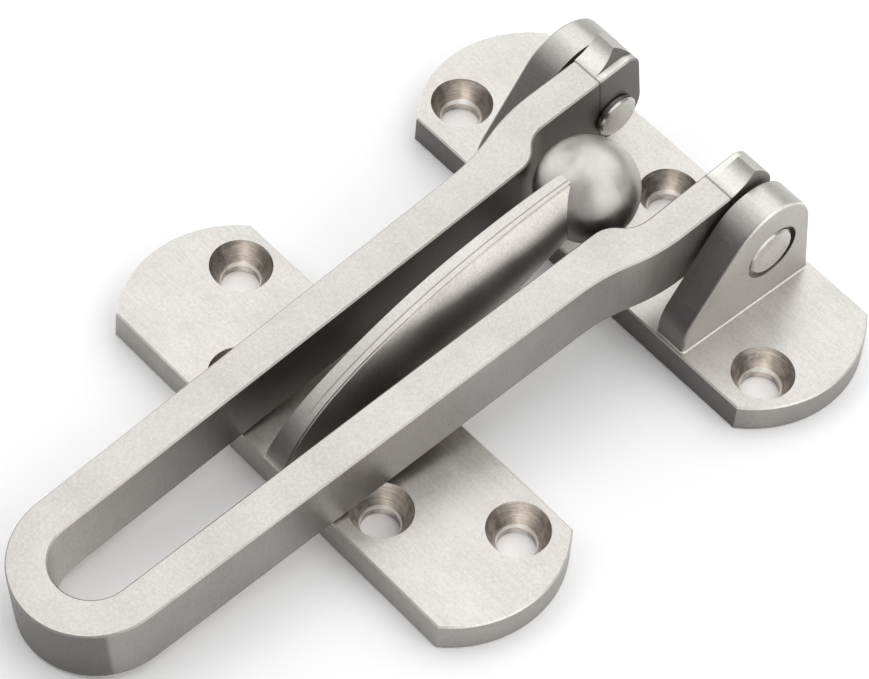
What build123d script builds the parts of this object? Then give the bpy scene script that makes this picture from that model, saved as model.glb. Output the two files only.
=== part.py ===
from build123d import *
from math import acos, asin, atan, atan2, cos, degrees, hypot, radians, sin, sqrt, tan
import os

os.makedirs("parts", exist_ok=True)

# Swing-bar door guard, in millimetres. A hinge plate with two lugs carries a U-shaped
# bar on two short pins. A separate catch plate carries a curved arm that ends in a ball.
# The ball stands between the legs of the bar. Both plates have their backs on Z = 0,
# the origin is the middle of the hinge plate's back, and the bar points along -Y.

# Countersunk screw holes, alike in both plates
screw_bore = 6.0
screw_head = 9.9
sink_depth = 3.8

# Hinge plate
hinge_width = 28.0
hinge_straight = 72.4
hinge_bulge = 6.2
hinge_thick = 5.1
hinge_end_hole_x = 34.0
hinge_end_hole_y = -6.35
hinge_middle_hole_y = 6.5

# Lugs of the hinge plate, seen along X
lug_thick = 5.5
lug_crown_y = 3.0
lug_crown_z = 17.8
lug_crown_radius = 8.6
lug_slope = 55.5
lug_foot_setback = 0.7
lug_foot_radius = 8.0
lug_back_setback = 0.6
lug_rim_round = 0.5
lug_foot_bead = 0.3

# Pins
pin_y = 4.0
pin_z = 16.0
pin_diameter = 6.0
pin_head_diameter = 7.4
pin_head_thick = 1.0
pin_end_diameter = 8.4
pin_end_thick = 1.1
pin_recess_diameter = 9.9
pin_edge_break = 0.3

# Swing bar, in its own frame: origin on the pin axis, U end towards -V, W up
bar_rise = 10.7
bar_thick = 11.9
bar_end_reach = 112.3
bar_end_outer = 12.75
bar_end_inner = 6.6
bar_leg_outer = 14.35
bar_leg_inner = 7.85
bar_outer_bow_start = 31.5
bar_outer_bow_end = 12.5
bar_inner_bow_start = 22.4
bar_inner_bow_end = 14.8
eye_outer = 17.3
eye_inner = 11.5
eye_radius = 5.8
eye_underside_round = 2.5
eye_back_round = 3.0
stop_inner = 12.8
stop_groove_v = -2.9
stop_ridge_v = 1.9
stop_ridge_rise = 2.5
stop_back_v = 5.4
stop_back_bulge = 0.6
stop_hollow = 0.55
stop_root = 1.0
stop_lean = 0.9

# Catch plate
catch_y = -61.4
catch_width = 26.7
catch_straight = 73.0
catch_bulge = 5.6
catch_thick = 5.3
catch_far_hole_x = 31.4
catch_far_hole_y = 7.15
catch_near_hole_x = 16.0
catch_near_hole_y = -6.1

# Ball and arm of the catch
ball_diameter = 16.5
ball_y = -13.1
ball_z = 22.0
arm_crest_z = 28.6
arm_crest_power = 0.625
arm_rib_height = 0.35
arm_rib_step = 0.3

# Clearances and edge breaks
lug_gap = 0.8
head_gap = 0.25
pin_running_fit = 0.05
pin_seat_fit = 0.02
rest_gap = 0.3
edge_break = 0.25

# Worked out from the sizes above
sink_angle = 2 * degrees(atan((screw_head - screw_bore) / 2 / sink_depth))
lug_inner = eye_outer + lug_gap
lug_outer = lug_inner + lug_thick
bar_drop = bar_thick - bar_rise
catch_near_y = catch_y - catch_width / 2

# The bar leans down until its underside lies on the near top edge of the catch plate
rest_reach = pin_y - catch_near_y
rest_fall = pin_z - catch_thick
bar_tilt = atan2(rest_fall, rest_reach) - asin((bar_drop + rest_gap) / hypot(rest_reach, rest_fall))
bar_up = Vector(0, -sin(bar_tilt), cos(bar_tilt))
bar_plane = Plane(origin=(0, pin_y, pin_z), x_dir=(1, 0, 0), z_dir=bar_up)
pin_axis = Axis((0, pin_y, pin_z), (1, 0, 0))


def bowed_outline(straight, bulge, width):
    """Plan of a plate: two straight long edges, and an arc that bows out at each end."""
    half = straight / 2
    side = width / 2
    with BuildSketch() as outline:
        with BuildLine():
            Line((-half, -side), (half, -side))
            ThreePointArc((half, -side), (half + bulge, 0), (half, side))
            Line((half, side), (-half, side))
            ThreePointArc((-half, side), (-half - bulge, 0), (-half, -side))
        make_face()
    return outline.sketch


def lug_outline():
    """Side view of a lug: upright foot, long slope, round crown and a leaning back."""
    slope = radians(lug_slope)
    crown = Vector(lug_crown_y, lug_crown_z)
    root = hinge_thick / 2
    front_y = -hinge_width / 2 + lug_foot_setback
    back = Vector(hinge_width / 2 - lug_back_setback, hinge_thick)
    slope_top = crown + Vector(-sin(slope), cos(slope)) * lug_crown_radius
    corner_z = slope_top.Y - (slope_top.X - front_y) * tan(slope)
    run = lug_foot_radius * tan((radians(90) - slope) / 2)
    foot_top = Vector(front_y, corner_z - run)
    slope_foot = Vector(front_y + run * cos(slope), corner_z + run * sin(slope))
    to_back = back - crown
    turn = atan2(to_back.Y, to_back.X) + acos(lug_crown_radius / to_back.length)
    back_top = crown + Vector(cos(turn), sin(turn)) * lug_crown_radius
    with BuildSketch() as outline:
        with BuildLine():
            Line((front_y, root), foot_top)
            TangentArc(foot_top, slope_foot, tangent=(0, 1))
            Line(slope_foot, slope_top)
            TangentArc(slope_top, back_top, tangent=(cos(slope), sin(slope)))
            Line(back_top, back)
            Line(back, (back.X, root))
            Line((back.X, root), (front_y, root))
        make_face()
    return outline.sketch


# Hinge plate: bowed plate with two lugs, three screw holes and a pin seat in each lug
with BuildPart() as hinge_plate:
    with BuildSketch():
        add(bowed_outline(hinge_straight, hinge_bulge, hinge_width))
    extrude(amount=hinge_thick)
    chamfer(hinge_plate.faces().sort_by(Axis.Z)[-1].edges(), length=edge_break)
    for side in (-1, 1):
        with BuildSketch(Plane.YZ.offset(side * lug_inner)):
            add(lug_outline())
        extrude(amount=side * lug_thick)
        lug_face = hinge_plate.faces().filter_by(Axis.X).sort_by(Axis.X)[0 if side < 0 else -1]
        fillet(lug_face.edges().sort_by(Axis.Z)[1:], radius=lug_rim_round)
        foot = hinge_plate.edges().filter_by(Axis.Y).filter_by_position(Axis.Z, hinge_thick, hinge_thick)
        fillet(foot.sort_by_distance((side * lug_outer, 0, hinge_thick))[0], radius=lug_foot_bead)
        with BuildSketch(Plane.YZ.offset(side * lug_inner)):
            with Locations((pin_y, pin_z)):
                Circle(pin_diameter / 2 + pin_seat_fit)
        extrude(amount=side * lug_thick, mode=Mode.SUBTRACT)
        with BuildSketch(Plane.YZ.offset(side * lug_outer)):
            with Locations((pin_y, pin_z)):
                Circle(pin_recess_diameter / 2)
        extrude(amount=-side * pin_end_thick, mode=Mode.SUBTRACT)
    hinge_holes = [
        (-hinge_end_hole_x, hinge_end_hole_y, hinge_thick),
        (hinge_end_hole_x, hinge_end_hole_y, hinge_thick),
        (0, hinge_middle_hole_y, hinge_thick),
    ]
    with Locations(*hinge_holes):
        CounterSinkHole(screw_bore / 2, screw_head / 2, hinge_thick, sink_angle)
hinge_plate.part.label = "hinge_plate"
export_step(hinge_plate.part, "parts/hinge_plate.step")


def bar_leg(side):
    """One side of the U in plan, from the middle of the round end to the straight by the eye."""
    outer_start = Vector(side * bar_leg_outer, -bar_outer_bow_start)
    outer_end = Vector(side * eye_outer, -bar_outer_bow_end)
    inner_start = Vector(side * bar_leg_inner, -bar_inner_bow_start)
    inner_end = Vector(side * eye_inner, -bar_inner_bow_end)
    end_outer = Vector(side * bar_end_outer, -bar_end_reach)
    end_inner = Vector(side * bar_end_inner, -bar_end_reach)
    round_outer = cos(radians(45)) * bar_end_outer
    round_inner = cos(radians(45)) * bar_end_inner
    with BuildSketch() as outline:
        with BuildLine():
            ThreePointArc(
                (0, -bar_end_reach - bar_end_outer),
                (side * round_outer, -bar_end_reach - round_outer),
                end_outer,
            )
            Line(end_outer, outer_start)
            TangentArc(outer_start, (outer_start + outer_end) / 2, tangent=(0, 1))
            TangentArc(outer_end, (outer_start + outer_end) / 2, tangent=(0, -1))
            Line(outer_end, (side * eye_inner, -bar_outer_bow_end))
            Line((side * eye_inner, -bar_outer_bow_end), inner_end)
            TangentArc(inner_end, (inner_start + inner_end) / 2, tangent=(0, -1))
            TangentArc(inner_start, (inner_start + inner_end) / 2, tangent=(0, 1))
            Line(inner_start, end_inner)
            ThreePointArc(
                end_inner,
                (side * round_inner, -bar_end_reach - round_inner),
                (0, -bar_end_reach - bar_end_inner),
            )
            Line((0, -bar_end_reach - bar_end_inner), (0, -bar_end_reach - bar_end_outer))
        make_face()
    return outline.sketch


def eye_outline():
    """Side view of an eye and the straight end of its leg, up to the leg's top."""
    meet_v = -sqrt(eye_radius**2 - bar_drop**2)
    with BuildSketch() as outline:
        with BuildLine():
            Line((-bar_outer_bow_end, -bar_drop), (-bar_outer_bow_end, bar_rise))
            Line((-bar_outer_bow_end, bar_rise), (stop_back_v, bar_rise))
            Line((stop_back_v, bar_rise), (eye_radius, 0))
            ThreePointArc((eye_radius, 0), (0, -eye_radius), (meet_v, -bar_drop))
            Line((meet_v, -bar_drop), (-bar_outer_bow_end, -bar_drop))
        make_face()
        underside_corner = outline.vertices().sort_by_distance((meet_v, -bar_drop))[0]
        fillet(underside_corner, radius=eye_underside_round)
        back_corner = outline.vertices().sort_by_distance((stop_back_v, bar_rise))[0]
        fillet(back_corner, radius=eye_back_round)
    return outline.sketch


def stop_outline():
    """Side view of the stop on an eye: a hollow rise to a ridge, then a round fall to the back."""
    groove = Vector(stop_groove_v, bar_rise)
    ridge = Vector(stop_ridge_v, bar_rise + stop_ridge_rise)
    back = Vector(stop_back_v, bar_rise - eye_back_round)
    rise = ridge - groove
    fall = back - ridge
    hollow = (groove + ridge) / 2 + Vector(rise.Y, -rise.X).normalized() * stop_hollow
    bulge = (ridge + back) / 2 + Vector(-fall.Y, fall.X).normalized() * stop_back_bulge
    with BuildSketch() as outline:
        with BuildLine():
            ThreePointArc(groove, hollow, ridge)
            ThreePointArc(ridge, bulge, back)
            Line(back, (stop_groove_v, bar_rise - stop_root))
            Line((stop_groove_v, bar_rise - stop_root), groove)
        make_face()
    return outline.sketch


# Swing bar: U with bowed-out legs, and an eye with a stop ridge at the end of each leg
with BuildPart() as swing_bar:
    with BuildSketch(bar_plane.offset(-bar_drop)):
        add(bar_leg(-1))
        add(bar_leg(1))
    extrude(amount=bar_thick)
    for side in (-1, 1):
        eye_origin = Vector(side * eye_inner, pin_y, pin_z)
        with BuildSketch(Plane(origin=eye_origin, x_dir=bar_plane.y_dir, z_dir=(1, 0, 0))):
            add(eye_outline())
        extrude(amount=side * (eye_outer - eye_inner))
    rims = swing_bar.edges().filter_by(Axis.X, reverse=True)
    chamfer(rims.filter_by(Axis((0, 0, 0), bar_up), reverse=True), length=edge_break)
    for side in (-1, 1):
        stop_origin = Vector(side * stop_inner, pin_y, pin_z)
        with BuildSketch(Plane(origin=stop_origin, x_dir=bar_plane.y_dir, z_dir=(1, 0, 0))):
            add(stop_outline())
        extrude(amount=side * (eye_outer - stop_inner))
        across = Plane(origin=bar_plane.origin, x_dir=(1, 0, 0), z_dir=-bar_plane.y_dir)
        with BuildSketch(across):
            with BuildLine():
                Polyline(
                    (side * stop_inner, bar_rise),
                    (side * (stop_inner + stop_lean), bar_rise + stop_ridge_rise),
                    (side * stop_inner, bar_rise + stop_ridge_rise),
                    close=True,
                )
            make_face()
        extrude(amount=stop_back_v, both=True, mode=Mode.SUBTRACT)
    with BuildSketch(Plane.YZ):
        with Locations((pin_y, pin_z)):
            Circle(pin_diameter / 2 + pin_running_fit)
    extrude(amount=lug_inner, both=True, mode=Mode.SUBTRACT)
swing_bar.part.label = "swing_bar"
export_step(swing_bar.part, "parts/swing_bar.step")


# Pins: a flat head inside each eye, a shank through eye and lug, and a riveted outer end
for side, pin_name in ((-1, "pin_left"), (1, "pin_right")):
    head_outer = eye_inner - head_gap
    head_inner = head_outer - pin_head_thick
    end_inner = lug_outer - pin_end_thick
    profile_plane = Plane(origin=(0, pin_y, pin_z), x_dir=(1, 0, 0), z_dir=(0, -1, 0))
    with BuildPart() as pin:
        with BuildSketch(profile_plane):
            with BuildLine():
                Polyline(
                    (side * head_inner, 0),
                    (side * head_inner, pin_head_diameter / 2),
                    (side * head_outer, pin_head_diameter / 2),
                    (side * head_outer, pin_diameter / 2),
                    (side * end_inner, pin_diameter / 2),
                    (side * end_inner, pin_end_diameter / 2),
                    (side * lug_outer, pin_end_diameter / 2),
                    (side * lug_outer, 0),
                    close=True,
                )
            make_face()
        revolve(axis=pin_axis)
        rims = pin.faces().filter_by(Axis.X).sort_by(Axis.X)
        chamfer(rims[0].edges() + rims[-1].edges(), length=pin_edge_break)
    pin.part.label = pin_name
    export_step(pin.part, f"parts/{pin_name}.step")


def arm_crest(share):
    """Height of the arm's top above the plate, from its foot (0) to the ball (1)."""
    return (arm_crest_z - catch_thick) * (1 - (1 - share) ** 2) ** arm_crest_power


# Cross-sections of the arm: share of the way to the ball, half width of the top strip,
# half width and height of the flank, half width and height of the underside
root_z = catch_thick / 2
arm_sections = [
    (0.0, 1.9, 2.3, root_z + 1.5, 2.4, root_z),
    (0.1, 1.5, 3.6, catch_thick + 0.5, 4.4, root_z),
    (0.25, 1.3, 4.4, catch_thick + 4.0, 5.2, root_z),
    (0.45, 1.3, 4.5, catch_thick + 7.0, 4.4, root_z + 0.2),
    (0.65, 1.2, 4.3, 16.0, 2.8, 8.0),
    (0.82, 1.05, 3.8, 19.0, 2.2, 13.8),
    (0.97, 0.9, 3.5, 21.3, 1.8, 18.2),
]

# Catch plate: bowed plate with four screw holes, and the arm and ball cast on it
with BuildPart() as catch_plate:
    with BuildSketch(Plane((0, catch_y, 0))):
        add(bowed_outline(catch_straight, catch_bulge, catch_width))
    extrude(amount=catch_thick)
    chamfer(catch_plate.faces().sort_by(Axis.Z)[-1].edges(), length=edge_break)
    catch_holes = []
    for side in (-1, 1):
        catch_holes.append((side * catch_far_hole_x, catch_y + catch_far_hole_y, catch_thick))
        catch_holes.append((side * catch_near_hole_x, catch_y + catch_near_hole_y, catch_thick))
    with Locations(*catch_holes):
        CounterSinkHole(screw_bore / 2, screw_head / 2, catch_thick, sink_angle)
    for share, strip, flank, flank_z, keel, keel_z in arm_sections:
        station = catch_near_y + share * (ball_y - catch_near_y)
        top = catch_thick + arm_crest(share) - arm_rib_height
        shoulder = strip + arm_rib_step
        with BuildSketch(Plane.XZ.offset(-station)):
            with BuildLine():
                Line((-shoulder, top), (shoulder, top))
                Spline((shoulder, top), (flank, flank_z), (keel, keel_z))
                Line((keel, keel_z), (-keel, keel_z))
                Spline((-keel, keel_z), (-flank, flank_z), (-shoulder, top))
            make_face()
    loft()
    for share, strip, flank, flank_z, keel, keel_z in arm_sections:
        station = catch_near_y + share * (ball_y - catch_near_y)
        top = catch_thick + arm_crest(share)
        with BuildSketch(Plane.XZ.offset(-station)):
            with BuildLine():
                Polyline(
                    (-strip, top),
                    (strip, top),
                    (strip, top - 4 * arm_rib_height),
                    (-strip, top - 4 * arm_rib_height),
                    close=True,
                )
            make_face()
    loft()
    with Locations((0, ball_y, ball_z)):
        Sphere(ball_diameter / 2)
catch_plate.part.label = "catch_plate"
export_step(catch_plate.part, "parts/catch_plate.step")
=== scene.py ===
import math

import bpy
from bpy.props import FloatProperty, FloatVectorProperty, PointerProperty
from bpy.types import Operator, Panel, PropertyGroup
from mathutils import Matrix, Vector

bl_info = {
    "name": "Swing Bar Door Guard",
    "version": (1, 0, 0),
    "blender": (4, 5, 0),
    "location": "View3D > Sidebar > Door Guard",
    "description": "Gives the door guard its satin nickel finishes and a pale studio floor",
    "category": "Object",
}

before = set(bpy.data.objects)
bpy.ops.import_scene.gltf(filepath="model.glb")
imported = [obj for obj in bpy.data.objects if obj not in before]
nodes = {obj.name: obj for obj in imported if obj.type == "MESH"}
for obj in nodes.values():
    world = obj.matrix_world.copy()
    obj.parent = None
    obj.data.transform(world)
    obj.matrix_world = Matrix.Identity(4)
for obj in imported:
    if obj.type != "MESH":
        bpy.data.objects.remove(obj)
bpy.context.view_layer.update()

# Places that the finishes follow, in metres, as in the part's source
PLATE_TOP = 0.0055
HINGE_HOLES = [(-0.034, -0.00635), (0.034, -0.00635), (0.0, 0.0065)]
CATCH_HOLES = [(-0.0314, -0.05425), (0.0314, -0.05425), (-0.016, -0.0675), (0.016, -0.0675)]
HOLE_RADIUS = 0.00497
HOLE_FOOT = 0.0016
PIN_CENTRE = (0.0, 0.004, 0.016)
BALL_CENTRE = (0.0, -0.0131, 0.022)
BALL_RADIUS = 0.0083

# Lengths over which one finish gives way to the next, in metres
LEDGE = 0.001
SIDE_EDGE = 0.0004
# The painted highlight on the plates' edge breaks reaches this far above the plate top
EDGE_HIGHLIGHT_REACH = 0.0003
HOLE_EDGE = 0.00006
# Half width and soft edge of the painted highlight at the foot of a screw hole's cone
HOLE_LINE = 0.0002
BALL_EDGE = 0.00005

# Directions that a surface can face
UP = (0.0, 0.0, 1.0)
FRONT = (0.0, -1.0, 0.0)
SIDE = (1.0, 0.0, 0.0)

# A painted highlight brightens the upper flank of the arm above this height, which rises towards
# the ball
FLANK_HIGHLIGHT_BASE = 0.0269
FLANK_HIGHLIGHT_RISE = 0.103
FLANK_HIGHLIGHT_FADE = (-0.0014, 0.001)
RAGGED_EDGE = 0.0004

# The painted shade of a fine groove along the arm's rib
RIB_GROOVE_PLACE = 0.0004
RIB_GROOVE_HALF = 0.00008

# The bar leans down from its pins to the catch plate
BAR_UP = (0.0, -0.1159, 0.9933)
BAR_ALONG = (0.0, 0.9933, 0.1159)

# Places along the bar, in metres from the pins
STOP_FOOT = -0.0029
SLOT_END = (-0.12, -0.075)
END_CENTRE = -0.1123

# Lengths from the foot of a stop: the half width and soft edge of the groove's painted shade, and
# the rise of the stop's painted highlight
GROOVE_HALF = 0.00012
GROOVE_SOFT = 0.0001
STOP_RISE = (0.0002, 0.0012)

# Lengths from the centre of the round end: where it starts along the bar, and its outer wall
END_START = (0.004, 0.006)
END_WALL = (0.009, 0.01)

# The round end's painted shade stops where the normal's X part is this large, where the round end
# meets each leg's outer side
CREASE = 0.855
CREASE_SOFT = 0.015

# Parts of a surface's normal between which a tone sets in or fades out
SIDE_UP = (0.1, 0.3)
FLAT_UP = (0.9, 0.99)
STEEP_UP = (0.75, 0.85)
EDGE_STARTS = (0.3, 0.45)
EDGE_ENDS = (0.85, 0.97)
RIM_STARTS = (0.25, 0.4)
RIM_ENDS = (0.8, 0.95)
LUG_FACE_SIDE = (0.85, 0.95)
PLATE_FRONT_OUT = (0.6, 0.98)
LUG_FRONT_OUT = (0.1, 0.65)
ARM_FOOT_OUT = (0.3, 0.8)
BALL_UP = (-0.1, 0.68)
BAR_WALL_UP = (0.4, 0.9)
RIDGE_UP = (0.2, 0.4)

# A wall of the bar faces outwards where the X part of its normal times its X place is above this
OUTWARD = (-0.006, 0.002)

# Shares that the metal's colour is multiplied by: each is a painted shade below 1 or a painted
# highlight above 1
EDGE_HIGHLIGHT_TONE = 1.3
PLATE_FRONT_SHADE = 0.42
LUG_FRONT_SHADE = 0.36
LUG_RIM_HIGHLIGHT = 1.5
LUG_FACE_SHADE = 0.9
LOWER_FLANK_LIGHT = 1.1
FLANK_HIGHLIGHT_TONE = 1.65
ARM_FRONT_SHADE = 0.5
RIB_GROOVE_SHADE = 0.55
BALL_UNDER_SHADE = 0.4
SLOT_END_LIGHT = 1.2
SLOT_WALL_SHADE = 0.28
LEG_SIDE_SHADE = 0.62
ROUND_END_SHADE = 0.32
STOP_HIGHLIGHT = 1.3
GROOVE_SHADE = 0.5

# Shares of the colour at the low and the high end of a mottled tone
BRUSHED_TONES = (0.86, 1.1)
HOLE_TONES = (0.75, 1.25)
BALL_TONES = (0.82, 1.08)
PIN_TONES = (0.9, 1.06)
PAPER_TONES = (0.995, 1.0)

# Most of a noise texture lies between the first two values; the brushed tone varies less
NOISE_SPAN = (0.3, 0.7)
BRUSHED_SPAN = (0.38, 0.62)

# Noise scales; three numbers stretch it along X, Y and Z
PLATE_LINES = (260.0, 4200.0, 4200.0)
BAR_LINES = (3600.0, 3600.0, 260.0)
HOLE_RINGS = (300.0, 300.0, 5200.0)
HIGHLIGHT_RAGS = (300.0, 120.0, 120.0)
CLOUDS = 90.0
SPECKLES = 2200.0
CHATTER = 650.0
SMEARS = 240.0
PIN_SPECKLES = 1800.0
PIN_RINGS = 1500.0
PAPER_FIBRES = 900.0

# Roughness beside that of the settings
ROUGHNESS_SWING = 0.06
FINER_TOP = 0.12
HIGHLIGHT_ROUGHNESS = 0.6
HOLE_ROUGHNESS = (0.26, 0.42)
BALL_SWING = (-0.06, 0.08)
PIN_ROUGHNESS = (0.22, 0.38)
PAPER_ROUGHNESS = 0.9

# Strength of the marks that are raised from the metal
BRUSHED_RELIEF = 0.6
TURNED_RELIEF = 0.25

# Painted highlight and shade on the walls of the screw holes: they darken where they face this
# direction or away from it and brighten across it, and they vary with the chatter of the cutter
HOLE_LIGHT_ACROSS = (0.80, 0.60, 0.0)
HOLE_LIGHT_SPAN = (0.1, 0.6)
HOLE_LIGHT_TONES = (1.25, 0.6)
CHATTER_TONES = (-0.2, 0.25)

# The floor lies just below the plates' backs
FLOOR_SIZE = 8.0
FLOOR_HEIGHT = -0.0001

# Each lamp's name, direction from the object, distance and width, in metres
LAMPS = [
    ("key_lamp", (-0.1, 0.42, 0.9), 1.1, 1.8),
    ("front_lamp", (-0.41, -0.55, 0.76), 1.1, 0.6),
    ("left_card", (-1.0, -0.2, 0.4), 0.9, 0.7),
    ("right_card", (0.95, 0.0, 0.46), 0.9, 1.0),
]
RIGHT_SHARE = 2.0

# The camera stands where the photograph was taken from
CAMERA_PLACE = (0.267018, -0.323208, 0.533308)
CAMERA_TURN = (36.66467, -3.35410, 48.11114)
CAMERA_SHIFT = (-0.003096, -0.028855)
CAMERA_LENS = 179.907
CAMERA_SENSOR = 36.0
CAMERA_RANGE = (0.05, 20.0)


class SatinSettings(PropertyGroup):
    """Colours and roughness of the metal finishes."""

    nickel: FloatVectorProperty(
        name="Satin nickel",
        description="Colour of the brushed faces of the bar and the plates",
        subtype="COLOR",
        default=(0.56, 0.54, 0.515),
        min=0.0,
        max=1.0,
    )
    bore: FloatVectorProperty(
        name="Cut holes",
        description="Colour of the freshly cut cones of the screw holes",
        subtype="COLOR",
        default=(0.64, 0.59, 0.545),
        min=0.0,
        max=1.0,
    )
    steel: FloatVectorProperty(
        name="Pin steel",
        description="Colour of the steel pins",
        subtype="COLOR",
        default=(0.6, 0.585, 0.56),
        min=0.0,
        max=1.0,
    )
    roughness: FloatProperty(
        name="Roughness",
        description="How matt the brushed faces are",
        subtype="FACTOR",
        default=0.44,
        min=0.05,
        max=1.0,
    )
    # Painted shade: the share of the colour left on the plates' narrow cut sides
    cut_side_shade: FloatProperty(
        name="Cut sides",
        description="How bright the plates' narrow cut sides are beside their tops",
        subtype="FACTOR",
        default=0.68,
        min=0.0,
        max=1.0,
    )
    ball_roughness: FloatProperty(
        name="Ball roughness",
        description="How matt the worn, polished ball is",
        subtype="FACTOR",
        default=0.4,
        min=0.05,
        max=1.0,
    )
    grain: FloatProperty(
        name="Grain depth",
        description="Depth of the brushing marks",
        subtype="DISTANCE",
        unit="LENGTH",
        default=0.00001,
        min=0.0,
        max=0.0002,
        precision=6,
    )


class StudioSettings(PropertyGroup):
    """Floor and lamps of the studio."""

    floor: FloatVectorProperty(
        name="Floor",
        description="Colour of the pale floor",
        subtype="COLOR",
        default=(0.94, 0.94, 0.945),
        min=0.0,
        max=1.0,
    )
    lift: FloatProperty(
        name="Paper white",
        description="How far the floor is lifted towards white where it is seen",
        subtype="FACTOR",
        default=0.345,
        min=0.0,
        max=1.0,
    )
    sky: FloatProperty(
        name="Room light",
        description="Level of the light that comes from everywhere",
        default=0.12,
        min=0.0,
        max=2.0,
    )
    mirrored: FloatProperty(
        name="Room in the metal",
        description="Level of the room where the metal mirrors it",
        default=0.42,
        min=0.0,
        max=1.0,
    )
    key: FloatProperty(
        name="Key lamp",
        description="Power of the large soft lamp behind the object",
        unit="POWER",
        default=11.2,
        min=0.0,
        max=100.0,
    )
    front: FloatProperty(
        name="Front lamp",
        description="Power of the small soft lamp above the front",
        unit="POWER",
        default=1.5,
        min=0.0,
        max=100.0,
    )
    fill: FloatProperty(
        name="Fill lamps",
        description="Power of the soft lamp on the left; the one on the right has twice as much",
        unit="POWER",
        default=1.7,
        min=0.0,
        max=100.0,
    )


class Finish:
    """Lays out the nodes of one material."""

    def __init__(self, name):
        self.material = bpy.data.materials.new(name)
        self.material.use_nodes = True
        self.tree = self.material.node_tree
        self.shader = self.tree.nodes["Principled BSDF"]
        coordinates = self.tree.nodes.new("ShaderNodeTexCoord")
        self.place = coordinates.outputs["Object"]
        self.normal = coordinates.outputs["Normal"]

    def link(self, source, target):
        self.tree.links.new(source, target)

    def axis(self, vector, name):
        """The X, Y or Z part of a vector."""
        parts = self.tree.nodes.new("ShaderNodeSeparateXYZ")
        self.link(vector, parts.inputs["Vector"])
        return parts.outputs[name]

    def stretched(self, scale):
        """The object's coordinates, stretched along X, Y and Z."""
        mapping = self.tree.nodes.new("ShaderNodeMapping")
        mapping.inputs["Scale"].default_value = scale
        self.link(self.place, mapping.inputs["Vector"])
        return mapping.outputs["Vector"]

    def noise(self, vector, scale=1.0, detail=3.0, roughness=0.6):
        texture = self.tree.nodes.new("ShaderNodeTexNoise")
        texture.inputs["Scale"].default_value = scale
        texture.inputs["Detail"].default_value = detail
        texture.inputs["Roughness"].default_value = roughness
        self.link(vector, texture.inputs["Vector"])
        return texture.outputs["Fac"]

    def math(self, kind, *values):
        """One step of arithmetic on numbers and sockets."""
        step = self.tree.nodes.new("ShaderNodeMath")
        step.operation = kind
        for socket, value in zip(step.inputs, values):
            if isinstance(value, (int, float)):
                socket.default_value = value
            else:
                self.link(value, socket)
        return step.outputs["Value"]

    def product(self, first, *others):
        """All the values multiplied."""
        for value in others:
            first = self.math("MULTIPLY", first, value)
        return first

    def blend(self, first, second, share):
        """A share of the first value and the rest of the second."""
        return self.math("ADD", self.product(first, share), self.product(second, 1.0 - share))

    def spread(self, value, low, high, to_low, to_high):
        """Value from low to high becomes to_low to to_high, and stays between them."""
        scale = self.tree.nodes.new("ShaderNodeMapRange")
        limits = {"From Min": low, "From Max": high, "To Min": to_low, "To Max": to_high}
        for name, number in limits.items():
            scale.inputs[name].default_value = number
        self.link(value, scale.inputs["Value"])
        return scale.outputs["Result"]

    def rise(self, value, low, high):
        """0 below low and 1 above high."""
        return self.spread(value, low, high, 0.0, 1.0)

    def fall(self, value, low, high):
        """1 below low and 0 above high."""
        return self.spread(value, low, high, 1.0, 0.0)

    def band(self, value, centre, half, soft):
        """1 where value is within half of centre, and 0 outside, over a soft edge."""
        gap = self.math("ABSOLUTE", self.math("SUBTRACT", value, centre))
        return self.fall(gap, half, half + soft)

    def vector_step(self, kind, source, fixed):
        """One step of arithmetic on a vector socket and a fixed vector."""
        step = self.tree.nodes.new("ShaderNodeVectorMath")
        step.operation = kind
        step.inputs[1].default_value = fixed
        self.link(source, step.inputs[0])
        return step.outputs

    def facing(self, direction):
        """How far the surface faces a direction, from -1 to 1."""
        return self.vector_step("DOT_PRODUCT", self.normal, direction)["Value"]

    def along(self, direction, start):
        """How far a point lies from start in a direction."""
        shift = self.vector_step("SUBTRACT", self.place, start)["Vector"]
        return self.vector_step("DOT_PRODUCT", shift, direction)["Value"]

    def distance(self, centre, keep=(1.0, 1.0, 1.0)):
        """How far a point is from centre, measured only along the axes that keep names with 1."""
        flat = self.vector_step("MULTIPLY", self.place, keep)["Vector"]
        kept = [part * share for part, share in zip(centre, keep)]
        return self.vector_step("DISTANCE", flat, kept)["Value"]

    def mix(self, share, first, second):
        """Colour or number between first and second."""
        blend = self.tree.nodes.new("ShaderNodeMix")
        colour = any(
            isinstance(value, tuple) or getattr(value, "type", "") in ("RGBA", "VECTOR")
            for value in (first, second)
        )
        blend.data_type = "RGBA" if colour else "FLOAT"
        wanted = "RGBA" if colour else "VALUE"
        sockets = [
            socket for socket in blend.inputs if socket.type == wanted and socket.name in "AB"
        ]
        for socket, value in zip(sockets, (first, second)):
            if isinstance(value, tuple):
                socket.default_value = (*value[:3], 1.0)
            elif isinstance(value, (int, float)):
                socket.default_value = value
            else:
                self.link(value, socket)
        self.link(share, blend.inputs["Factor"])
        return next(socket for socket in blend.outputs if socket.type == wanted)

    def mottled(self, value, colour, tones, span=NOISE_SPAN):
        """The colour from its first tone to its second while the value crosses the span."""
        dark, light = (tinted(colour, share) for share in tones)
        return self.mix(self.rise(value, *span), dark, light)

    def shaded(self, colour, share):
        """The colour times a share that changes over the surface."""
        scale = self.tree.nodes.new("ShaderNodeVectorMath")
        scale.operation = "SCALE"
        self.link(colour, scale.inputs[0])
        self.link(share, scale.inputs["Scale"])
        return scale.outputs["Vector"]

    def toned(self, colour, mask, share):
        """The colour times share where the mask is 1."""
        return self.shaded(colour, self.spread(mask, 0.0, 1.0, 1.0, share))

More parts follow.
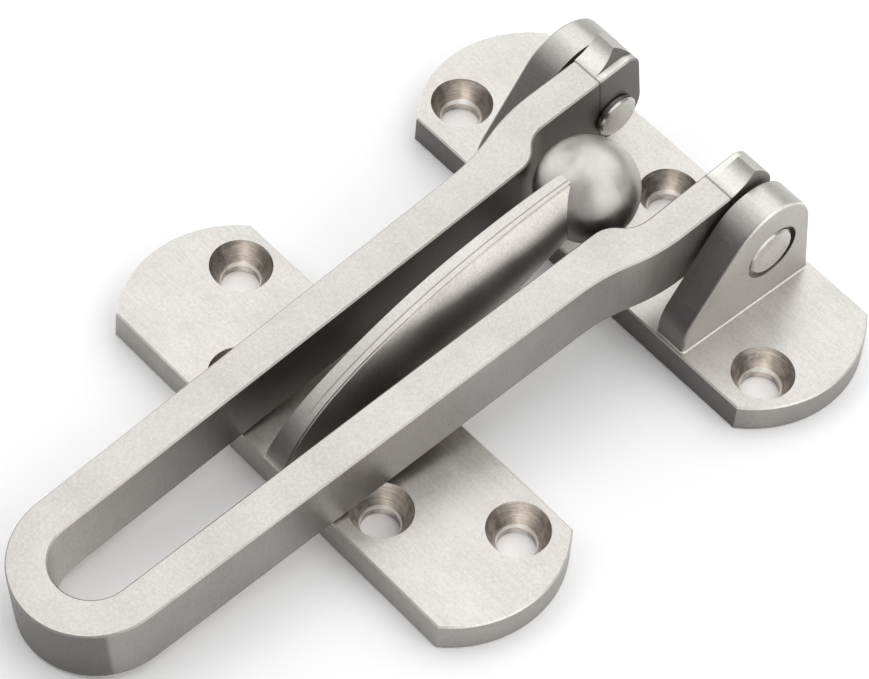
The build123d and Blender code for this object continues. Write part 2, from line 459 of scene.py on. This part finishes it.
    def set(self, **values):
        """Numbers and links for the shader's own sockets, with spaces written as underscores."""
        for name, value in values.items():
            socket = self.shader.inputs[name.replace("_", " ")]
            if isinstance(value, bpy.types.NodeSocket):
                self.link(value, socket)
            else:
                socket.default_value = value

    def metal(self, surface, rough, height, strength, depth):
        """Connects the shader as bare metal, with marks raised by height times depth."""
        self.set(Metallic=1.0, Base_Color=surface, Roughness=rough)
        relief = self.tree.nodes.new("ShaderNodeBump")
        relief.inputs["Strength"].default_value = strength
        relief.inputs["Distance"].default_value = depth
        self.link(height, relief.inputs["Height"])
        self.link(relief.outputs["Normal"], self.shader.inputs["Normal"])


def tinted(colour, share):
    """The colour made lighter or darker."""
    return tuple(min(1.0, channel * share) for channel in colour)


def assign(node, material):
    """Gives every material slot of a CAD node the finish."""
    for material_slot in nodes[node].material_slots:
        material_slot.material = material


def brushed(finish, settings, stretch):
    """Brushed satin metal: fine drawn lines, cloudy tone and a little speckle."""
    lines = finish.noise(finish.stretched(stretch), detail=2.0, roughness=0.7)
    cloud = finish.noise(finish.place, scale=CLOUDS)
    speckle = finish.noise(finish.place, scale=SPECKLES, detail=1.0)
    marks = finish.blend(lines, speckle, 0.5)
    tone = finish.blend(marks, cloud, 0.6)
    surface = finish.mottled(tone, settings.nickel, BRUSHED_TONES, BRUSHED_SPAN)
    least, most = settings.roughness - ROUGHNESS_SWING, settings.roughness + ROUGHNESS_SWING
    both = finish.math("ADD", lines, cloud)
    rough = finish.spread(both, *(2.0 * limit for limit in NOISE_SPAN), least, most)
    return surface, rough, marks


def plate_metal(finish, settings, up):
    """Brushed metal with painted shade on the cut sides, finer tops and a painted highlight on
    the edge breaks.
    """
    surface, rough, marks = brushed(finish, settings, PLATE_LINES)
    height = finish.axis(finish.place, "Z")
    # Painted shade on the narrow cut sides below the plate top
    low = finish.fall(height, PLATE_TOP - SIDE_EDGE, PLATE_TOP)
    side = finish.product(low, finish.fall(up, *SIDE_UP))
    surface = finish.toned(surface, side, settings.cut_side_shade)
    finer = finish.math("SUBTRACT", rough, FINER_TOP)
    rough = finish.mix(finish.rise(up, *FLAT_UP), rough, finer)
    # Painted highlight on the slanted edge breaks just above the plate top
    slanted = finish.product(finish.rise(up, *EDGE_STARTS), finish.fall(up, *EDGE_ENDS))
    edge = finish.product(slanted, finish.fall(height, PLATE_TOP, PLATE_TOP + EDGE_HIGHLIGHT_REACH))
    return finish.toned(surface, edge, EDGE_HIGHLIGHT_TONE), rough, marks


def cut_holes(finish, settings, surface, rough, holes):
    """Turned metal inside the screw holes, with painted highlight and shade in streaks and a
    painted highlight along the cone's lower edge.
    """
    nearest = None
    for x, y in holes:
        gap = finish.distance((x, y, 0.0), keep=(1.0, 1.0, 0.0))
        nearest = gap if nearest is None else finish.math("MINIMUM", nearest, gap)
    inside = finish.fall(nearest, HOLE_RADIUS - HOLE_EDGE, HOLE_RADIUS)
    rings = finish.noise(finish.stretched(HOLE_RINGS), detail=2.0)
    turned = finish.mottled(rings, settings.bore, HOLE_TONES)
    # Painted highlight and shade by the way the wall faces, plus the cutter's chatter
    across = finish.math("ABSOLUTE", finish.facing(HOLE_LIGHT_ACROSS))
    chatter = finish.noise(finish.place, scale=CHATTER)
    light_and_chatter = finish.math(
        "ADD",
        finish.spread(across, *HOLE_LIGHT_SPAN, *HOLE_LIGHT_TONES),
        finish.spread(chatter, *NOISE_SPAN, *CHATTER_TONES),
    )
    # A painted highlight along the lower edge of the cone
    foot = finish.band(finish.axis(finish.place, "Z"), HOLE_FOOT, HOLE_LINE, HOLE_LINE)
    turned = finish.shaded(turned, finish.math("ADD", light_and_chatter, foot))
    smooth = finish.spread(rings, *NOISE_SPAN, *HOLE_ROUGHNESS)
    return finish.mix(inside, surface, turned), finish.mix(inside, rough, smooth)


class DOORGUARD_OT_finish_hinge(Operator):
    """Brushes the hinge plate, paints shade on its front faces and the fronts of its lugs, a
    highlight on the lugs' rims and shade on faces that look sideways, and turns its screw holes
    """

    bl_idname = "doorguard.finish_hinge"
    bl_label = "Finish the hinge plate"

    def execute(self, context):
        settings = context.scene.doorguard_satin
        finish = Finish("satin_hinge_plate")
        surface, rough, marks = plate_metal(finish, settings, finish.facing(UP))

        height = finish.axis(finish.place, "Z")
        on_lug = finish.rise(height, PLATE_TOP, PLATE_TOP + LEDGE)
        # Painted shade on the front faces of the plate and of its lugs
        frontal = finish.facing(FRONT)
        plate_front_shade = finish.spread(frontal, *PLATE_FRONT_OUT, 1.0, PLATE_FRONT_SHADE)
        lug_front_shade = finish.spread(frontal, *LUG_FRONT_OUT, 1.0, LUG_FRONT_SHADE)
        surface = finish.shaded(surface, finish.mix(on_lug, plate_front_shade, lug_front_shade))

        # Painted highlight on the lugs' slanted rims, and painted shade on faces that look
        # sideways
        sideways = finish.math("ABSOLUTE", finish.facing(SIDE))
        rim = finish.product(
            finish.rise(sideways, *RIM_STARTS),
            finish.fall(sideways, *RIM_ENDS),
            finish.rise(height, PLATE_TOP + LEDGE, PLATE_TOP + 3.0 * LEDGE),
        )
        surface = finish.toned(surface, rim, LUG_RIM_HIGHLIGHT)
        face = finish.rise(sideways, *LUG_FACE_SIDE)
        surface = finish.toned(surface, face, LUG_FACE_SHADE)

        surface, rough = cut_holes(finish, settings, surface, rough, HINGE_HOLES)
        finish.metal(surface, rough, marks, BRUSHED_RELIEF, settings.grain)
        assign("hinge_plate", finish.material)
        return {"FINISHED"}


class DOORGUARD_OT_finish_catch(Operator):
    """Brushes the catch plate, paints a highlight on the arm's upper flanks, shade on the arm's
    front faces, in a groove along its rib and on the ball's lower half, and smooths the ball
    """

    bl_idname = "doorguard.finish_catch"
    bl_label = "Finish the catch plate"

    def execute(self, context):
        settings = context.scene.doorguard_satin
        finish = Finish("satin_catch_plate")
        up = finish.facing(UP)
        surface, rough, marks = plate_metal(finish, settings, up)
        surface, rough = cut_holes(finish, settings, surface, rough, CATCH_HOLES)

        height = finish.axis(finish.place, "Z")
        above = finish.rise(height, PLATE_TOP, PLATE_TOP + LEDGE)
        steep = finish.fall(up, *STEEP_UP)
        flank = finish.product(above, steep)
        # Painted highlight on the arm's steep flanks, strongest above a ragged line that rises
        # towards the ball
        limit = finish.math(
            "MULTIPLY_ADD", finish.axis(finish.place, "Y"), FLANK_HIGHLIGHT_RISE, FLANK_HIGHLIGHT_BASE
        )
        ragged = finish.noise(finish.stretched(HIGHLIGHT_RAGS), detail=2.0)
        shift = finish.spread(ragged, *NOISE_SPAN, -RAGGED_EDGE, RAGGED_EDGE)
        over = finish.math("ADD", finish.math("SUBTRACT", height, limit), shift)
        flank_highlight = finish.rise(over, *FLANK_HIGHLIGHT_FADE)
        tone = finish.spread(flank_highlight, 0.0, 1.0, LOWER_FLANK_LIGHT, FLANK_HIGHLIGHT_TONE)
        surface = finish.mix(flank, surface, finish.shaded(surface, tone))
        rough = finish.mix(finish.product(flank, flank_highlight), rough, HIGHLIGHT_ROUGHNESS)

        # Painted shade on the front faces of the arm
        foot = finish.product(above, finish.rise(finish.facing(FRONT), *ARM_FOOT_OUT))
        surface = finish.toned(surface, foot, ARM_FRONT_SHADE)
        # Painted shade along a fine groove on top of the arm's rib
        line = finish.band(finish.axis(finish.place, "X"), RIB_GROOVE_PLACE, RIB_GROOVE_HALF, RIB_GROOVE_HALF)
        rib_shade = finish.product(line, above, finish.fall(steep, 0.0, 1.0))
        surface = finish.toned(surface, rib_shade, RIB_GROOVE_SHADE)

        on_ball = finish.fall(finish.distance(BALL_CENTRE), BALL_RADIUS - BALL_EDGE, BALL_RADIUS)
        smear = finish.noise(finish.place, scale=SMEARS, detail=4.0)
        least, most = (settings.ball_roughness + swing for swing in BALL_SWING)
        polished = finish.spread(smear, *NOISE_SPAN, least, most)
        rough = finish.mix(on_ball, rough, polished)
        ball = finish.mottled(smear, settings.nickel, BALL_TONES)
        # Painted shade on the ball, darker towards its underside
        ball = finish.shaded(ball, finish.spread(up, *BALL_UP, BALL_UNDER_SHADE, 1.0))
        surface = finish.mix(on_ball, surface, ball)

        finish.metal(surface, rough, marks, BRUSHED_RELIEF, settings.grain)
        assign("catch_plate", finish.material)
        return {"FINISHED"}


class DOORGUARD_OT_finish_bar(Operator):
    """Brushes the swing bar, paints shade on its sides and in a groove at the foot of each stop,
    and a highlight on each stop's ridge
    """

    bl_idname = "doorguard.finish_bar"
    bl_label = "Finish the swing bar"

    def execute(self, context):
        settings = context.scene.doorguard_satin
        finish = Finish("satin_swing_bar")
        surface, rough, marks = brushed(finish, settings, BAR_LINES)
        up = finish.facing(BAR_UP)
        on_bar = finish.along(BAR_ALONG, PIN_CENTRE)

        # Painted shade: the legs' outer sides are evenly darker, and their inner sides darken
        # towards the pins, with painted light near the slot's end
        inner = finish.spread(on_bar, *SLOT_END, SLOT_END_LIGHT, SLOT_WALL_SHADE)
        width = finish.axis(finish.place, "X")
        outward = finish.rise(finish.product(finish.axis(finish.normal, "X"), width), *OUTWARD)

        # Painted shade: the outer side of the round end is darker, as far as the creases
        at_end = finish.fall(on_bar, *(END_CENTRE + gap for gap in END_START))
        past = finish.math("MINIMUM", finish.math("SUBTRACT", on_bar, END_CENTRE), 0.0)
        reach = finish.math("ADD", finish.product(past, past), finish.product(width, width))
        outside = finish.rise(finish.math("SQRT", reach), *END_WALL)
        outward = finish.math("MAXIMUM", outward, finish.product(at_end, outside))
        sideways = finish.math("ABSOLUTE", finish.facing(SIDE))
        curved = finish.fall(sideways, CREASE - CREASE_SOFT, CREASE + CREASE_SOFT)
        round_end = finish.product(at_end, curved)
        outer = finish.spread(round_end, 0.0, 1.0, LEG_SIDE_SHADE, ROUND_END_SHADE)

        # Painted shade on the bar's walls, leaving its top and bottom as they are
        wall = finish.fall(finish.math("ABSOLUTE", up), *BAR_WALL_UP)
        wall_shade = finish.shaded(surface, finish.mix(outward, inner, outer))
        surface = finish.mix(wall, surface, wall_shade)

        # Painted highlight on the ridge of each stop
        stop = finish.rise(on_bar, *(STOP_FOOT + gap for gap in STOP_RISE))
        stop = finish.product(stop, finish.rise(up, *RIDGE_UP))
        surface = finish.toned(surface, stop, STOP_HIGHLIGHT)
        # Painted shade in a groove at the foot of each stop
        groove = finish.band(on_bar, STOP_FOOT, GROOVE_HALF, GROOVE_SOFT)
        surface = finish.toned(surface, groove, GROOVE_SHADE)

        finish.metal(surface, rough, marks, BRUSHED_RELIEF, settings.grain)
        assign("swing_bar", finish.material)
        return {"FINISHED"}


class DOORGUARD_OT_finish_pins(Operator):
    """Turns the pins: rings round their axis, and a brighter steel"""

    bl_idname = "doorguard.finish_pins"
    bl_label = "Finish the pins"

    def execute(self, context):
        settings = context.scene.doorguard_satin
        finish = Finish("turned_pin_steel")
        radius = finish.product(finish.distance(PIN_CENTRE, keep=(0.0, 1.0, 1.0)), PIN_RINGS)
        turned = finish.product(finish.math("ADD", finish.math("SINE", radius), 1.0), 0.5)
        speckle = finish.noise(finish.place, scale=PIN_SPECKLES, detail=2.0)
        rings = finish.blend(turned, speckle, 0.3)
        surface = finish.mottled(rings, settings.steel, PIN_TONES)
        rough = finish.spread(rings, *NOISE_SPAN, *PIN_ROUGHNESS)
        finish.metal(surface, rough, rings, TURNED_RELIEF, settings.grain)
        for node in ("pin_left", "pin_right"):
            assign(node, finish.material)
        return {"FINISHED"}


def soft_lamp(name, direction, reach, size, power):
    """A square soft lamp at reach from the object, facing it."""
    bpy.ops.object.light_add(type="AREA", location=Vector(direction).normalized() * reach)
    lamp = bpy.context.object
    lamp.name = name
    lamp.rotation_mode = "QUATERNION"
    lamp.rotation_quaternion = Vector(direction).to_track_quat("Z", "Y")
    lamp.data.shape = "SQUARE"
    lamp.data.size = size
    lamp.data.energy = power


def lift_paper(finish, level):
    """Lifts the paper to white where it is seen, also in the metal, and keeps its shadow."""
    tree = finish.tree
    path = tree.nodes.new("ShaderNodeLightPath")
    seen = finish.math("MAXIMUM", path.outputs["Is Camera Ray"], path.outputs["Is Glossy Ray"])
    seen = finish.math("MAXIMUM", seen, path.outputs["Is Transmission Ray"])
    lift = tree.nodes.new("ShaderNodeBsdfDiffuse")
    finish.link(finish.product(seen, level), lift.inputs["Color"])
    both = tree.nodes.new("ShaderNodeAddShader")
    finish.link(finish.shader.outputs["BSDF"], both.inputs[0])
    finish.link(lift.outputs["BSDF"], both.inputs[1])
    finish.link(both.outputs["Shader"], tree.nodes["Material Output"].inputs["Surface"])


def white_room(sky, mirrored):
    """A room that is white where it is seen, paler in the metal, and lights only softly."""
    world = bpy.data.worlds.new("studio_room")
    world.use_nodes = True
    tree = world.node_tree
    path = tree.nodes.new("ShaderNodeLightPath")
    shown = tree.nodes.new("ShaderNodeMath")
    shown.operation = "MULTIPLY_ADD"
    tree.links.new(path.outputs["Is Glossy Ray"], shown.inputs[0])
    shown.inputs[1].default_value = mirrored - sky
    shown.inputs[2].default_value = sky
    level = tree.nodes.new("ShaderNodeMath")
    level.operation = "MAXIMUM"
    tree.links.new(path.outputs["Is Camera Ray"], level.inputs[0])
    tree.links.new(shown.outputs["Value"], level.inputs[1])
    room = tree.nodes["Background"]
    room.inputs["Color"].default_value = (1.0, 1.0, 1.0, 1.0)
    tree.links.new(level.outputs["Value"], room.inputs["Strength"])
    return world


class DOORGUARD_OT_set_stage(Operator):
    """Sets the floor, the room light, the lamps and the camera"""

    bl_idname = "doorguard.set_stage"
    bl_label = "Set the stage"

    def execute(self, context):
        settings = context.scene.doorguard_studio
        bpy.ops.object.select_all(action="DESELECT")
        bpy.ops.mesh.primitive_plane_add(size=FLOOR_SIZE, location=(0.0, 0.0, FLOOR_HEIGHT))
        floor = context.object
        floor.name = "studio_floor"
        finish = Finish("pale_paper")
        fibres = finish.noise(finish.place, scale=PAPER_FIBRES)
        tone = finish.mottled(fibres, settings.floor, PAPER_TONES)
        finish.set(Base_Color=tone, Roughness=PAPER_ROUGHNESS, Specular_IOR_Level=0.2)
        lift_paper(finish, settings.lift)
        floor.data.materials.append(finish.material)

        context.scene.world = white_room(settings.sky, settings.mirrored)

        powers = (settings.key, settings.front, settings.fill, RIGHT_SHARE * settings.fill)
        for lamp, power in zip(LAMPS, powers):
            soft_lamp(*lamp, power)

        bpy.ops.object.camera_add(
            location=CAMERA_PLACE, rotation=[math.radians(angle) for angle in CAMERA_TURN]
        )
        camera = context.object
        camera.name = "photo_camera"
        camera.data.sensor_width = CAMERA_SENSOR
        camera.data.lens = CAMERA_LENS
        camera.data.shift_x, camera.data.shift_y = CAMERA_SHIFT
        camera.data.clip_start, camera.data.clip_end = CAMERA_RANGE
        context.scene.camera = camera
        context.scene.view_settings.view_transform = "Standard"
        return {"FINISHED"}


class DOORGUARD_PT_sidebar(Panel):
    """Lists the settings and the steps of the door guard"""

    bl_idname = "DOORGUARD_PT_sidebar"
    bl_label = "Door Guard"
    bl_space_type = "VIEW_3D"
    bl_region_type = "UI"
    bl_category = "Door Guard"

    def draw(self, context):
        column = self.layout.column()
        for group in (context.scene.doorguard_satin, context.scene.doorguard_studio):
            for name in group.__annotations__:
                column.prop(group, name)
        for step in STEPS:
            column.operator(step.bl_idname)


STEPS = [
    DOORGUARD_OT_finish_hinge,
    DOORGUARD_OT_finish_catch,
    DOORGUARD_OT_finish_bar,
    DOORGUARD_OT_finish_pins,
    DOORGUARD_OT_set_stage,
]
CLASSES = [SatinSettings, StudioSettings, *STEPS, DOORGUARD_PT_sidebar]


def register():
    for item in CLASSES:
        bpy.utils.register_class(item)
    bpy.types.Scene.doorguard_satin = PointerProperty(type=SatinSettings)
    bpy.types.Scene.doorguard_studio = PointerProperty(type=StudioSettings)


def unregister():
    del bpy.types.Scene.doorguard_studio
    del bpy.types.Scene.doorguard_satin
    for item in reversed(CLASSES):
        bpy.utils.unregister_class(item)


def main():
    register()
    bpy.ops.doorguard.finish_hinge()
    bpy.ops.doorguard.finish_catch()
    bpy.ops.doorguard.finish_bar()
    bpy.ops.doorguard.finish_pins()
    bpy.ops.doorguard.set_stage()


if __name__ == "__main__":
    main()
